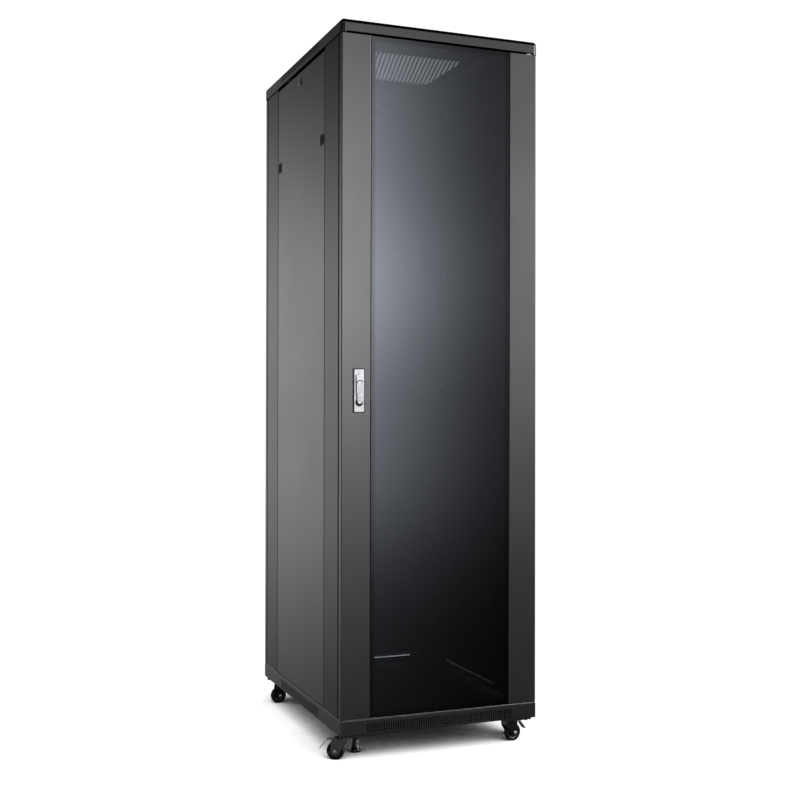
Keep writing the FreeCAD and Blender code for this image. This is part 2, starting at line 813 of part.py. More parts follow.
def rear_door_blocks():
    """Hinge blocks inside the rear door's left edge."""
    x = (left + sheet + 0.1, left + sheet + hinge_block_length)
    y = (back - door_thickness + sheet + 0.1, back - sheet - 0.1)
    pin_x, pin_y = left + hinge_inset, back - door_thickness / 2
    bore = rod(hinge_pin_radius + running_fit, (pin_x, pin_y, 0), (pin_x, pin_y, height))
    low = box(x, y, (door_bottom + sheet, door_bottom + hinge_block_height))
    high = box(x, y, (door_top - hinge_block_height, door_top - sheet))
    return low.cut(bore), high.cut(bore)


def quarter_turn(reach, face_gap, depth_inside):
    """Quarter-turn lock about +Z: head above zero, body and cam below, cam towards +Y."""
    head = rod(lock_head_radius, (0, 0, face_gap), (0, 0, face_gap + lock_head_height))
    head = soften(head, 0.8, lambda middle: middle.z > face_gap + lock_head_height - 0.01)
    body = rod(lock_body_radius, (0, 0, -depth_inside), (0, 0, face_gap + 0.5))
    cam_level = (-depth_inside, -depth_inside + cam_thickness)
    outline = [(-8.0, -8.0, 7.0), (8.0, -8.0, 7.0), (8.0, reach, 3.0), (-8.0, reach, 3.0)]
    cam = extruded(outline, "xy", cam_level)
    top = face_gap + lock_head_height
    slot = box((-0.9, 0.9), (-4.0, 4.0), (top - 1.6, top + 1))
    return head.fuse([body, cam]).removeSplitter().cut(slot)


def facing(shape, x_axis, z_axis, origin):
    """Stands a shape made about +Z so that its +Z looks along z_axis and +X along x_axis."""
    z = FreeCAD.Vector(*z_axis)
    x = FreeCAD.Vector(*x_axis)
    y = z.cross(x)
    matrix = FreeCAD.Matrix(x.x, y.x, z.x, origin[0], x.y, y.y, z.y, origin[1],
                            x.z, y.z, z.z, origin[2], 0, 0, 0, 1)
    copy = shape.copy()
    copy.transformShape(matrix)
    return copy


def rear_lock():
    """Round lock of the rear door; its cam points down when it is at rest."""
    lock = quarter_turn(cam_reach, part_gap, door_thickness - 6.0)
    place = (right - rear_lock_inset, back, rear_lock_height)
    return facing(lock, (1, 0, 0), (0, 1, 0), place)


# ---- Side panels --------------------------------------------------------------------------

def latch_span():
    """Limits along Y of the front latch window, next to the panel's front edge."""
    start = panel_edge + latch_window_inset
    return start, start + latch_window[0]


def panel_lock_z():
    """Height of the side panel's lock."""
    return panel_top - panel_lock_drop


def side_panel():
    """Left side panel: a shallow steel tray with one lock bore and two latch windows."""
    outer = box((left, left + panel_depth), (panel_edge, -panel_edge), (panel_bottom, panel_top))
    outer = soften(outer, 1.1, lambda middle: abs(middle.x - left) < 0.01)
    hollow = box((left + panel_sheet, left + panel_depth + 1),
                 (panel_edge + panel_sheet, -panel_edge - panel_sheet),
                 (panel_bottom + panel_sheet, panel_top - panel_sheet))
    z = panel_lock_z()
    bore = rod(lock_body_radius + running_fit, (left - 5, 0, z), (left + 20, 0, z))
    cutters = [hollow, bore]
    low, high = latch_height - latch_window[1] / 2, latch_height + latch_window[1] / 2
    for side in (1, -1):
        span = [side * y for y in latch_span()]
        cutters.append(box((left - 1, left + panel_sheet + 1), span, (low, high)))
        mouth = (side * (panel_edge - 1), side * (panel_edge + panel_sheet + 1))
        cutters.append(box((left + 3.6, left + panel_depth + 1), mouth,
                           (latch_height - 8.0, latch_height + 8.0)))
    return outer.cut(cutters)


def panel_rib():
    """Stiffening rib behind the left side panel, from below the lock to the foot."""
    x0 = left + panel_sheet
    half = rib_width / 2
    path = [(x0 + panel_sheet, -half - 10.0), (x0 + panel_sheet, -half),
            (x0 + rib_depth, -half), (x0 + rib_depth, half), (x0 + panel_sheet, half),
            (x0 + panel_sheet, half + 10.0)]
    top = panel_lock_z() - panel_cam_reach - 20.0
    return bent_sheet(path, panel_sheet, "xy", (panel_bottom + 20.0, top))


def slide_latch():
    """Front latch of the left panel: a slider plate, a ribbed grip and a short tongue."""
    start, end = latch_span()
    low, high = latch_height - latch_window[1] / 2, latch_height + latch_window[1] / 2
    skin = left + panel_sheet + part_gap
    plate = box((skin, skin + latch_plate), (panel_edge + panel_sheet + 0.4, end + 9.0),
                (low - 4.0, high + 4.0))
    grip = box((left - 0.4, skin + 0.5), (start + 0.5, end - latch_travel - 0.5),
               (low + 0.5, high - 0.5))
    grip_start, grip_end = start + 0.5, end - latch_travel - 0.5
    wall, rib = 2.5, 3.0
    middle = (grip_start + grip_end) / 2
    pockets = []
    for a, b in ((grip_start + wall, middle - rib / 2), (middle + rib / 2, grip_end - wall)):
        pockets.append(box((left - 1, skin - 0.1), (a, b), (low + 4.0, high - 4.0)))
    web = box((skin + latch_plate, skin + latch_plate + 3.5), (panel_edge + 6.0, end),
              (latch_height - 6.0, latch_height + 6.0))
    tongue = box((skin + latch_plate + 0.7, skin + latch_plate + 3.5),
                 (panel_edge - 1.2, panel_edge + 7.0),
                 (latch_height - 6.0, latch_height + 6.0))
    return plate.fuse([grip.cut(pockets), web, tongue]).removeSplitter()


def side_lock():
    """Round lock at the top of the left side panel; its cam points down when at rest."""
    lock = quarter_turn(panel_cam_reach, part_gap, panel_depth + 2.5)
    return facing(lock, (0, 1, 0), (-1, 0, 0), (left, 0, panel_lock_z()))


# ---- Casters and feet ---------------------------------------------------------------------

def placed(shape, x, y, angle):
    """Moves a caster piece from its own axes, trail along +X, to its place under the base."""
    copy = shape.copy()
    copy.rotate(FreeCAD.Vector(0, 0, 0), FreeCAD.Vector(0, 0, 1), angle)
    copy.translate(FreeCAD.Vector(x, y, 0))
    return copy


def caster_stem():
    """Fixed stem of a caster with its raceway flange and the riveted head under the fork."""
    flange = rod(stem_flange_radius, (0, 0, crown_top + 0.4), (0, 0, plate_underside))
    stem = rod(stem_radius, (0, 0, crown_bottom - 3.5), (0, 0, base_underside + 11.0))
    head = rod(stem_radius + 3.0, (0, 0, crown_bottom - 3.5), (0, 0, crown_bottom - 0.4))
    return flange.fuse([stem, head]).removeSplitter()


def fork(braked):
    """Swivel fork with its axle; a braked one also holds the pedal's pin."""
    crown = rod(crown_radius, (0, 0, crown_bottom), (0, 0, crown_top))
    pieces = []
    top = crown_bottom + 1.0
    low = wheel_radius - 9.0
    trail = caster_trail
    for side in (-1, 1):
        inner = side * fork_gap / 2
        outer = side * (fork_gap / 2 + fork_sheet)
        outline = [(-13.0, top, 0), (-11.0, top - 18.0, 8.0), (trail - 10.0, low, 8.0),
                   (trail + 9.0, low, 8.5), (trail + 12.0, wheel_radius + 6.0, 6.0),
                   (trail + 8.0, top, 0)]
        pieces.append(extruded(outline, "xz", (inner, outer)))
    reach = fork_gap / 2 + fork_sheet
    pieces.append(box((-13.0, -10.5), (-reach, reach), (top - 14.0, top)))
    axle = rod(axle_radius, (trail, -reach - 1.2, wheel_radius), (trail, reach + 1.2, wheel_radius))
    pieces.append(axle)
    if braked:
        x, z = pedal_pivot()
        pieces.append(rod(pedal_pin_radius, (x, -reach, z), (x, reach, z)))
    body = crown.fuse(pieces).removeSplitter()
    stem = rod(stem_radius + running_fit, (0, 0, crown_bottom - 1), (0, 0, crown_top + 1))
    return body.cut(stem)


def pedal_pivot():
    """Place of the brake pedal's pin along the trail and its height."""
    return caster_trail + 4.0, wheel_radius * 2 + pedal_pin_radius + 4.0


def pedal():
    """Brake pedal: an eye on the fork's pin and a plate bent down over the wheel."""
    x, z = pedal_pivot()
    half = pedal_width / 2
    eye = rod(5.0, (x, -half, z), (x, half, z))
    path = [(x, z + 2.0), (x + 22.0, z), (x + 42.0, z - 25.0)]
    plate = bent_sheet(path[::-1], pedal_sheet, "xz", (-half, half), 3.0)
    bore = rod(pedal_pin_radius + running_fit, (x, -half - 1, z), (x, half + 1, z))
    return eye.fuse(plate).removeSplitter().cut(bore)


def wheel():
    """Wheel with a rounded tread, recessed faces and a hub around the axle."""
    half = wheel_width / 2
    x, z = caster_trail, wheel_radius
    disc = rod(wheel_radius, (x, -half, z), (x, half, z))
    disc = soften(disc, 3.0, lambda middle: abs(abs(middle.y) - half) < 0.01)
    hub = rod(8.0, (x, -half - 1.2, z), (x, half + 1.2, z))
    cutters = []
    for side in (-1, 1):
        deep = side * (half - 3.5)
        cutters.append(tube(18.5, 9.5, (x, deep, z), (x, side * (half + 2), z)))
    bore = rod(axle_radius + running_fit, (x, -half - 5, z), (x, half + 5, z))
    return disc.cut(cutters).fuse(hub).removeSplitter().cut(bore)


def levelling_foot(x, y):
    """Screw-down foot: a flared disc on a stem with a hexagon socket in its top."""
    low = foot_clearance
    disc = rod(foot_radius, (x, y, low), (x, y, low + foot_disc))
    disc = soften(disc, 2.0, lambda middle: middle.z > low + foot_disc - 0.01)
    flare = Part.makeCone(foot_radius - 4.0, foot_stem_radius, 12.0,
                          FreeCAD.Vector(x, y, low + foot_disc), FreeCAD.Vector(0, 0, 1))
    stem = rod(foot_stem_radius, (x, y, low + foot_disc), (x, y, foot_stem_top))
    socket = rod(4.0, (x, y, foot_stem_top - 8.0), (x, y, foot_stem_top + 1))
    return disc.fuse([flare, stem]).removeSplitter().cut(socket)


# ---- Write every node ---------------------------------------------------------------------

os.makedirs("parts", exist_ok=True)

write("base_front_rail", end_rail(base_slot_band))
write("base_rear_rail", mirrored(end_rail(rear_slot_band), "y"))
rail_left = side_rail()
write("base_side_rails", rail_left, mirrored(rail_left, "x"))
write("floor_plate", floor_plate())
write("floor_brackets", *floor_brackets())
write("cable_covers", *cable_covers())
write("corner_plates", *[corner_plate(c, f) for c, f in zip(casters, feet)])

left_post = post()
right_post = [mirrored(shape, "x") for shape in left_post]
write("post_front_left", *left_post)
write("post_front_right", *right_post)
write("post_rear_left", *[mirrored(shape, "y") for shape in left_post])
write("post_rear_right", *[mirrored(shape, "y") for shape in right_post])
write("top_rails", *top_rails())
write("cross_rails", *cross_rails())

front_left_rail = rack_rail()
rear_shift = FreeCAD.Vector(0, rail_setback - rear_rail_setback, 0)
rear_left_rail = mirrored(front_left_rail, "y")
rear_left_rail.translate(rear_shift)
write("rack_rail_front_left", front_left_rail)
write("rack_rail_front_right", mirrored(front_left_rail, "x"))
write("rack_rail_rear_left", rear_left_rail)
write("rack_rail_rear_right", mirrored(rear_left_rail, "x"))

write("top_cover", top_cover())
write("roof_vent_plate", roof_vent_plate())
front_pins = hinge_pins()
write("hinge_pins", *front_pins, *[turned(pin) for pin in front_pins])
write("frame_fasteners", *frame_fasteners())

left_stile = door_stile()
shaft_bore = rod(hub_shaft_radius + running_fit, (handle_x, front - 1, hub_axis_z()),
                 (handle_x, front + sheet + 1, hub_axis_z()))
write("door_stile_left", left_stile.cut(shaft_bore))
write("door_stile_right", mirrored(left_stile, "x"))
lower_rail = door_rail()
middle_z = (door_bottom + door_top) / 2
upper_rail = lower_rail.mirror(FreeCAD.Vector(0, 0, middle_z), FreeCAD.Vector(0, 0, 1))
write("door_rails", lower_rail, upper_rail)
write("door_glass", door_glass())
write("glass_gasket", glass_gasket())
write("door_end_blocks", *end_blocks())

write("handle_rim", handle_rim_piece())
write("handle_plate", handle_plate())
write("handle_hub", handle_hub())
write("handle_cam", handle_cam())
write("handle_lever", handle_lever())
write("key_cylinder", key_cylinder())

write("rear_door_panel", rear_door_panel())
write("rear_door_stiffeners", *rear_door_stiffeners())
write("rear_door_blocks", *rear_door_blocks())
write("rear_lock", rear_lock())

left_panel, left_rib = side_panel(), panel_rib()
write("side_panel_left", left_panel, left_rib)
write("side_panel_right", mirrored(left_panel, "x"), mirrored(left_rib, "x"))
left_lock = side_lock()
write("side_lock_left", left_lock)
write("side_lock_right", mirrored(left_lock, "x"))
latch = slide_latch()
write("latch_left_front", latch)
write("latch_left_rear", mirrored(latch, "y"))
write("latch_right_front", mirrored(latch, "x"))
write("latch_right_rear", mirrored(mirrored(latch, "x"), "y"))

write("caster_stems", *[placed(caster_stem(), x, y, angle) for name, x, y, angle, braked in casters])
for name, x, y, angle, braked in casters:
    write(f"caster_fork_{name}", placed(fork(braked), x, y, angle))
    write(f"caster_wheel_{name}", placed(wheel(), x, y, angle))
    if braked:
        write(f"brake_pedal_{name}", placed(pedal(), x, y, angle))
for name, x, y in feet:
    write(f"levelling_foot_{name}", levelling_foot(x, y))
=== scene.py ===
# %% [markdown]
# # A network rack cabinet, finished and photographed
# The engineering model already gives every panel, rail, door and caster its true size and place.
# This lesson loads that model, gives each part the finish of the real one, adds the small turned
# and moulded parts that a bare engineering model leaves out, and lights it like a catalogue
# picture. Everything is in metres. The origin is on the floor under the middle of the cabinet, +X
# points to the right seen from the front, +Y to the rear door and +Z up.

# %% Load the frame
import json
from math import pi, radians
import bpy
import bmesh
from mathutils import Matrix, Vector


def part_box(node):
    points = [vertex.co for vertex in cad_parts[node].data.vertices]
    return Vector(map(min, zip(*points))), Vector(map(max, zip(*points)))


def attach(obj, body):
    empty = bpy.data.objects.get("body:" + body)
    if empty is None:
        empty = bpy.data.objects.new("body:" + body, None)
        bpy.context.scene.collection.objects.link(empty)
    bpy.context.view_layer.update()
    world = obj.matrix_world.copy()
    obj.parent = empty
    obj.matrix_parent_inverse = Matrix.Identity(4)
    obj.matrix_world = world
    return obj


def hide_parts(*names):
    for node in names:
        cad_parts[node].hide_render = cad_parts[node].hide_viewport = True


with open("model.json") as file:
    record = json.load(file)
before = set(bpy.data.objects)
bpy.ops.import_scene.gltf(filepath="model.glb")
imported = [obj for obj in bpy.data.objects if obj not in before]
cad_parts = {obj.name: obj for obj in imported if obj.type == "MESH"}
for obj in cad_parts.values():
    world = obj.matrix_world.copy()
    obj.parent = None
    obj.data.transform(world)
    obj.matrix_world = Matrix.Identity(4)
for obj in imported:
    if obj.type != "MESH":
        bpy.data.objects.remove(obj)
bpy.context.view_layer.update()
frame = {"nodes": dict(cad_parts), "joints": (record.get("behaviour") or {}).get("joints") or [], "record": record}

nodes = frame["nodes"]
joints = {joint["name"]: joint for joint in frame["joints"]}
print(f"{len(nodes)} parts and {len(joints)} joints in the frame")

# %% [markdown]
# ## The camera
# A cabinet this tall is usually photographed from the height of its middle, so that its upright
# edges stay upright, and from far enough away that the front and one side are both calm. A short
# telephoto lens does that. The camera is turned to the right and kept almost level.

# %% Set up the camera
lens_length = 53.325
camera_place = Vector((-1.3361, -3.4856, 0.9853))
turned_right, tipped_up, rolled = radians(21.402), radians(0.321), radians(-0.104)

camera_data = bpy.data.cameras.new("studio_camera")
camera_data.lens = lens_length
camera_data.sensor_width = 36.0
camera = bpy.data.objects.new("studio_camera", camera_data)
bpy.context.scene.collection.objects.link(camera)
aim = (Matrix.Rotation(-turned_right, 4, "Z") @ Matrix.Rotation(radians(90) + tipped_up, 4, "X")
       @ Matrix.Rotation(-rolled, 4, "Z"))
camera.matrix_world = Matrix.Translation(camera_place) @ aim
bpy.context.scene.camera = camera
bpy.context.scene.view_settings.view_transform = "Standard"
print("camera stands at", [round(value, 3) for value in camera_place], "lens", lens_length)

# %% [markdown]
# ## Reusable node helpers
# Most finishes are built from the same few steps: add a node, set its sockets, wire it to the next.
# Two small functions keep the material cells short enough to read like a recipe.


# %% Helpers for node trees
def add_node(tree, kind, **settings):
    """Adds a node and sets its properties; a key that names a socket sets that socket."""
    node = tree.nodes.new(kind)
    for key, value in settings.items():
        if hasattr(node, key):
            setattr(node, key, value)
        else:
            node.inputs[key.replace("_", " ")].default_value = value
    return node


def shader_group(name, inputs, outputs):
    """An empty shader node group with named number inputs, and outputs of the given kinds."""
    group = bpy.data.node_groups.new(name, "ShaderNodeTree")
    for label, value in inputs.items():
        socket = group.interface.new_socket(label, in_out="INPUT", socket_type="NodeSocketFloat")
        socket.default_value = value
    for label, kind in outputs.items():
        group.interface.new_socket(label, in_out="OUTPUT", socket_type=kind)
    return group, group.nodes.new("NodeGroupInput"), group.nodes.new("NodeGroupOutput")


def math_step(tree, operation, first, second=None, third=None):
    """A math node whose inputs are numbers or sockets; returns its result socket."""
    node = tree.nodes.new("ShaderNodeMath")
    node.operation = operation
    for place, value in enumerate((first, second, third)):
        if value is None:
            continue
        if isinstance(value, (int, float)):
            node.inputs[place].default_value = value
        else:
            tree.links.new(value, node.inputs[place])
    return node.outputs[0]


# %% [markdown]
# ## The studio
# Dark glossy sheet metal shows almost nothing of its own colour: what is seen is the reflection of
# the studio. So the light is made of soft-edged patches placed by direction. A patch has an
# azimuth, measured from straight in front of the cabinet towards its right side, and an elevation
# above the horizon. Each patch fades out like a large diffuser, so no hard edge shows in the glass.
# The backdrop behind the cabinet is plain white.

# %% Soft patches of studio light
patch, patch_in, patch_out = shader_group(
    "soft_light_patch",
    {"Azimuth": 0.0, "Elevation": 0.0, "Width": 0.2, "Height": 0.2, "Brightness": 1.0},
    {"Light": "NodeSocketFloat"})
direction = add_node(patch, "ShaderNodeTexCoord")
parts_of_direction = add_node(patch, "ShaderNodeSeparateXYZ")
patch.links.new(direction.outputs["Generated"], parts_of_direction.inputs[0])
x_part, y_part, z_part = parts_of_direction.outputs
azimuth = math_step(patch, "ARCTAN2", x_part, math_step(patch, "MULTIPLY", y_part, -1.0))
elevation = math_step(patch, "ARCSINE", z_part)
across = math_step(patch, "SUBTRACT", azimuth, patch_in.outputs["Azimuth"])
across = math_step(patch, "WRAP", across, pi, -pi)
upward = math_step(patch, "SUBTRACT", elevation, patch_in.outputs["Elevation"])
across = math_step(patch, "DIVIDE", across, patch_in.outputs["Width"])
upward = math_step(patch, "DIVIDE", upward, patch_in.outputs["Height"])
squares = [math_step(patch, "POWER", distance, 2.0) for distance in (across, upward)]
falloff = math_step(patch, "MULTIPLY", math_step(patch, "ADD", *squares), -1.0)
glow = math_step(patch, "MULTIPLY", math_step(patch, "EXPONENT", falloff),
                 patch_in.outputs["Brightness"])
patch.links.new(glow, patch_out.inputs["Light"])

# name: azimuth, elevation, width and height in degrees, brightness
light_patches = {
    "front_lowest": (16.0, -11.0, 7.0, 6.0, 0.12),
    "front_low": (16.0, -2.0, 6.5, 5.0, 1.7),
    "front_middle": (16.0, 6.0, 6.2, 5.0, 4.5),
    "front_high": (16.0, 14.0, 6.0, 5.5, 2.6),
    "front_right": (37.0, 7.0, 5.0, 7.0, 6.0),
    "right_low": (56.0, 4.0, 14.0, 8.0, 2.2),
    "right_high": (56.0, 16.0, 14.0, 8.0, 9.5),
    "behind_left_low": (-163.0, -14.0, 16.0, 7.0, 0.1),
    "behind_left_middle": (-163.0, -4.0, 16.0, 7.0, 0.68),
    "behind_left_high": (-163.0, 6.0, 16.0, 7.0, 0.84),
    "behind_right": (150.0, 10.0, 30.0, 20.0, 0.5),
    "behind_roof": (159.0, 18.0, 14.0, 7.0, 0.6),
    "behind_floor": (159.0, -12.0, 7.0, 3.0, 2.5),
    "right_side": (95.0, -2.0, 20.0, 22.0, 0.8),
    "front_centre": (-10.0, -6.0, 8.0, 14.0, 0.7),
    "front_left": (-45.0, -4.0, 16.0, 20.0, 0.8),
    "left_rear": (-120.0, -4.0, 13.0, 20.0, 0.6),
    "overhead": (0.0, 90.0, 200.0, 30.0, 0.3),
}
room_level, paper_white = 0.01, 1.05

world = bpy.data.worlds.new("studio")
bpy.context.scene.world = world
world.use_nodes = True
sky = world.node_tree
sky.nodes.clear()
total = room_level
for name, (side, height, width, tall, brightness) in light_patches.items():
    one = add_node(sky, "ShaderNodeGroup", node_tree=patch, name=name)
    for label, value in (("Azimuth", side), ("Elevation", height), ("Width", width),
                         ("Height", tall)):
        one.inputs[label].default_value = radians(value)
    one.inputs["Brightness"].default_value = brightness
    total = math_step(sky, "ADD", total, one.outputs["Light"])
backdrop = add_node(sky, "ShaderNodeBackground", Color=(1.0, 1.0, 1.0, 1.0), Strength=paper_white)
softboxes = add_node(sky, "ShaderNodeBackground", Color=(0.99, 0.97, 1.0, 1.0))
sky.links.new(total, softboxes.inputs["Strength"])
seen = add_node(sky, "ShaderNodeLightPath")
choose = add_node(sky, "ShaderNodeMixShader")
sky.links.new(seen.outputs["Is Camera Ray"], choose.inputs["Fac"])
sky.links.new(softboxes.outputs[0], choose.inputs[1])
sky.links.new(backdrop.outputs[0], choose.inputs[2])
sky.links.new(choose.outputs[0], add_node(sky, "ShaderNodeOutputWorld").inputs["Surface"])
print(len(light_patches), "soft light patches")

# %% [markdown]
# ## The floor
# The floor is a pale sweep, lit so strongly that it is plain white, as in most catalogue pictures.
# Only close to the base, where the cabinet hides much of the studio, does it turn grey. That is
# exactly what ambient occlusion measures, so one node draws the soft shadow. The direction it looks
# in leans to the front, where the studio is brightest, so the shadow falls under the cabinet and
# not before it. The floor is seen by the camera alone: it must not show in the glass or light the
# cabinet from below.

# %% Lay the floor
floor_size, shadow_reach = 14.0, 0.3
shadow_core, shadow_edge, darkest = 0.32, 0.72, 0.01
shadow_lean = Vector((0.1, -0.72, 0.69))

floor_mesh = bpy.data.meshes.new("studio_floor")
bm = bmesh.new()
bmesh.ops.create_grid(bm, x_segments=8, y_segments=8, size=floor_size / 2)
bm.to_mesh(floor_mesh)
bm.free()
floor = bpy.data.objects.new("studio_floor", floor_mesh)
bpy.context.scene.collection.objects.link(floor)
floor.visible_glossy = floor.visible_diffuse = floor.visible_transmission = False

paper = bpy.data.materials.new("studio_paper")
paper.use_nodes = True
tree = paper.node_tree
tree.nodes.clear()
openness = add_node(tree, "ShaderNodeAmbientOcclusion", samples=16, Distance=shadow_reach)
shadow = add_node(tree, "ShaderNodeMapRange", interpolation_type="SMOOTHSTEP", From_Min=shadow_core,
                  From_Max=shadow_edge, To_Min=darkest, To_Max=paper_white)
white = add_node(tree, "ShaderNodeEmission", Color=(1.0, 1.0, 1.0, 1.0))
lean = add_node(tree, "ShaderNodeCombineXYZ", X=shadow_lean.x, Y=shadow_lean.y, Z=shadow_lean.z)
tree.links.new(lean.outputs[0], openness.inputs["Normal"])
tree.links.new(openness.outputs["AO"], shadow.inputs["Value"])
tree.links.new(shadow.outputs["Result"], white.inputs["Strength"])
tree.links.new(white.outputs[0], add_node(tree, "ShaderNodeOutputMaterial").inputs["Surface"])
floor.data.materials.append(paper)
print("floor", floor_size, "m wide, its shadow reaches", shadow_reach, "m")

# %% [markdown]
# ## What every finish shares
# Two effects are used by nearly all the finishes, so each is a node group. `fine_grain` is the
# small relief of a sprayed or moulded surface. `patchiness` is the slow change of gloss and shade
# over a large sheet, from handling and from uneven spraying. Both read the part's own coordinates,
# in metres, so the pattern has one true scale on every part and stays put when the part moves.

# %% Grain and patchiness groups
grain, grain_in, grain_out = shader_group(
    "fine_grain", {"Scale": 600.0, "Detail": 3.0}, {"Height": "NodeSocketFloat"})
where = add_node(grain, "ShaderNodeTexCoord")
speckle = add_node(grain, "ShaderNodeTexNoise", noise_dimensions="3D")
grain.links.new(where.outputs["Object"], speckle.inputs["Vector"])
grain.links.new(grain_in.outputs["Scale"], speckle.inputs["Scale"])
grain.links.new(grain_in.outputs["Detail"], speckle.inputs["Detail"])
grain.links.new(speckle.outputs["Fac"], grain_out.inputs["Height"])

patchy, patchy_in, patchy_out = shader_group(
    "patchiness", {"Scale": 4.0, "Low": 0.0, "High": 1.0}, {"Value": "NodeSocketFloat"})
where = add_node(patchy, "ShaderNodeTexCoord")
cloud = add_node(patchy, "ShaderNodeTexNoise", noise_dimensions="3D", Detail=4.0, Roughness=0.55)
spread = add_node(patchy, "ShaderNodeMapRange", From_Min=0.3, From_Max=0.7)
patchy.links.new(where.outputs["Object"], cloud.inputs["Vector"])
patchy.links.new(patchy_in.outputs["Scale"], cloud.inputs["Scale"])
patchy.links.new(cloud.outputs["Fac"], spread.inputs["Value"])
patchy.links.new(patchy_in.outputs["Low"], spread.inputs["To Min"])
patchy.links.new(patchy_in.outputs["High"], spread.inputs["To Max"])
patchy.links.new(spread.outputs["Result"], patchy_out.inputs["Value"])
print("groups", grain.name, patchy.name)


def finish(name, dark, light, roughness, grain_size, relief, patch_size, metallic=0.0,
           stretch=None, **constants):
    """A material whose shade and gloss drift slowly, with a fine relief over it.

    dark and light are the two shades, roughness the two ends of the gloss, grain_size and
    patch_size are lengths in metres, and relief is the height of the grain in metres. stretch
    squeezes the grain along an axis, which draws it out into lines.
    """
    material = bpy.data.materials.new(name)
    material.use_nodes = True
    tree = material.node_tree
    surface = tree.nodes["Principled BSDF"]
    surface.inputs["Metallic"].default_value = metallic
    for label, value in constants.items():
        surface.inputs[label.replace("_", " ")].default_value = value
    shade = add_node(tree, "ShaderNodeGroup", node_tree=patchy)
    shade.inputs["Scale"].default_value = 1.0 / patch_size
    tint = add_node(tree, "ShaderNodeMix", data_type="RGBA")
    tint.inputs["A"].default_value = (*dark, 1.0)
    tint.inputs["B"].default_value = (*light, 1.0)
    tree.links.new(shade.outputs["Value"], tint.inputs["Factor"])
    tree.links.new(tint.outputs["Result"], surface.inputs["Base Color"])
    gloss = add_node(tree, "ShaderNodeGroup", node_tree=patchy)
    gloss.inputs["Scale"].default_value = 1.7 / patch_size
    gloss.inputs["Low"].default_value, gloss.inputs["High"].default_value = roughness
    tree.links.new(gloss.outputs["Value"], surface.inputs["Roughness"])
    if stretch is None:
        texture = add_node(tree, "ShaderNodeGroup", node_tree=grain)
        texture.inputs["Scale"].default_value = 1.0 / grain_size
        height = texture.outputs["Height"]
    else:
        where = add_node(tree, "ShaderNodeTexCoord")
        squeeze = add_node(tree, "ShaderNodeMapping")
        squeeze.inputs["Scale"].default_value = stretch
        lines = add_node(tree, "ShaderNodeTexNoise", Scale=1.0 / grain_size, Detail=2.0)
        tree.links.new(where.outputs["Object"], squeeze.inputs["Vector"])
        tree.links.new(squeeze.outputs["Vector"], lines.inputs["Vector"])
        height = lines.outputs["Fac"]
    bump = add_node(tree, "ShaderNodeBump", Strength=1.0, Distance=relief)
    tree.links.new(height, bump.inputs["Height"])
    tree.links.new(bump.outputs["Normal"], surface.inputs["Normal"])
    return material


# %% [markdown]
# ## Sheet metal: satin powder coat
# The cabinet's sheet metal is sprayed with charcoal powder and baked. The powder melts into a
# satin skin with a very fine orange peel, just too small to see from across a room, but it is
# what softens the reflections. The shade is nearly constant; the gloss drifts a little. The posts
# take a darker, less glossy copy as painted shade, and the cover's copy has a painted dark edge.

# %% Powder coat finishes
satin, peel_size, peel_relief = (0.21, 0.25), 0.0011, 0.000006
charcoal = ((0.0125, 0.0125, 0.013), (0.0155, 0.0155, 0.016))

powder_coat = finish("powder_coat_charcoal", *charcoal, satin, peel_size, peel_relief,
                     patch_size=0.5, Specular_IOR_Level=1.0, IOR=1.6)
inside_coat = finish("powder_coat_inside", (0.018, 0.018, 0.019), (0.024, 0.024, 0.025),
                     (0.38, 0.46), peel_size, 0.000008, patch_size=0.3)
# The posts' copy of the coat is darker and less glossy than the doors and panels: painted shade.
post_coat_painted_shade = finish("powder_coat_posts_painted_shade", (0.010, 0.010, 0.0105), (0.0125, 0.0125, 0.013), satin,
                   peel_size, peel_relief, patch_size=0.5, Specular_IOR_Level=0.45)
cover_coat_painted_edge = finish("powder_coat_cover_painted_edge", *charcoal, satin, peel_size, peel_relief, patch_size=0.5)
print("powder coat", powder_coat.name, inside_coat.name, post_coat_painted_shade.name, cover_coat_painted_edge.name)

# %% [markdown]
# A band along the cover's rounded upper edge is painted dark, a painted reflection of the dark
# room above it, while the skirt below stays satin. The height above the floor tells the two apart.

# %% Paint a dark reflection on the rounded edge of the cover
painted_edge_depth, painted_edge_fade = 0.0095, 0.0015
cover_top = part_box("top_cover")[1].z

tree = cover_coat_painted_edge.node_tree
surface = tree.nodes["Principled BSDF"]
where = add_node(tree, "ShaderNodeTexCoord")
heights = add_node(tree, "ShaderNodeSeparateXYZ")
# Painted reflection: towards the top, the cover's gloss and shade fall to almost nothing.
edge = add_node(tree, "ShaderNodeMapRange", interpolation_type="SMOOTHSTEP",
                From_Min=cover_top - painted_edge_depth - painted_edge_fade, From_Max=cover_top - painted_edge_depth,
                To_Min=1.0, To_Max=0.04)
tree.links.new(where.outputs["Object"], heights.inputs[0])
tree.links.new(heights.outputs["Z"], edge.inputs["Value"])
tree.links.new(edge.outputs["Result"], surface.inputs["Specular IOR Level"])
shade = surface.inputs["Base Color"].links[0].from_socket
painted_edge_dim = add_node(tree, "ShaderNodeVectorMath", operation="SCALE")
tree.links.new(shade, painted_edge_dim.inputs[0])
tree.links.new(edge.outputs["Result"], painted_edge_dim.inputs["Scale"])
tree.links.new(painted_edge_dim.outputs["Vector"], surface.inputs["Base Color"])
print("cover edge", painted_edge_depth, "m deep")

# %% [markdown]
# ## Small metal, plastic and rubber finishes
# Zinc plate is a cool grey with a cloudy crystal pattern. The swing handle and the lock faces are
# die cast and satin chromed, with fine lines from polishing. The casters' forks are stamped steel
# in black lacquer, their wheels hard nylon. Grips and rims are moulded in black plastic, and the
# door seal is soft foam.

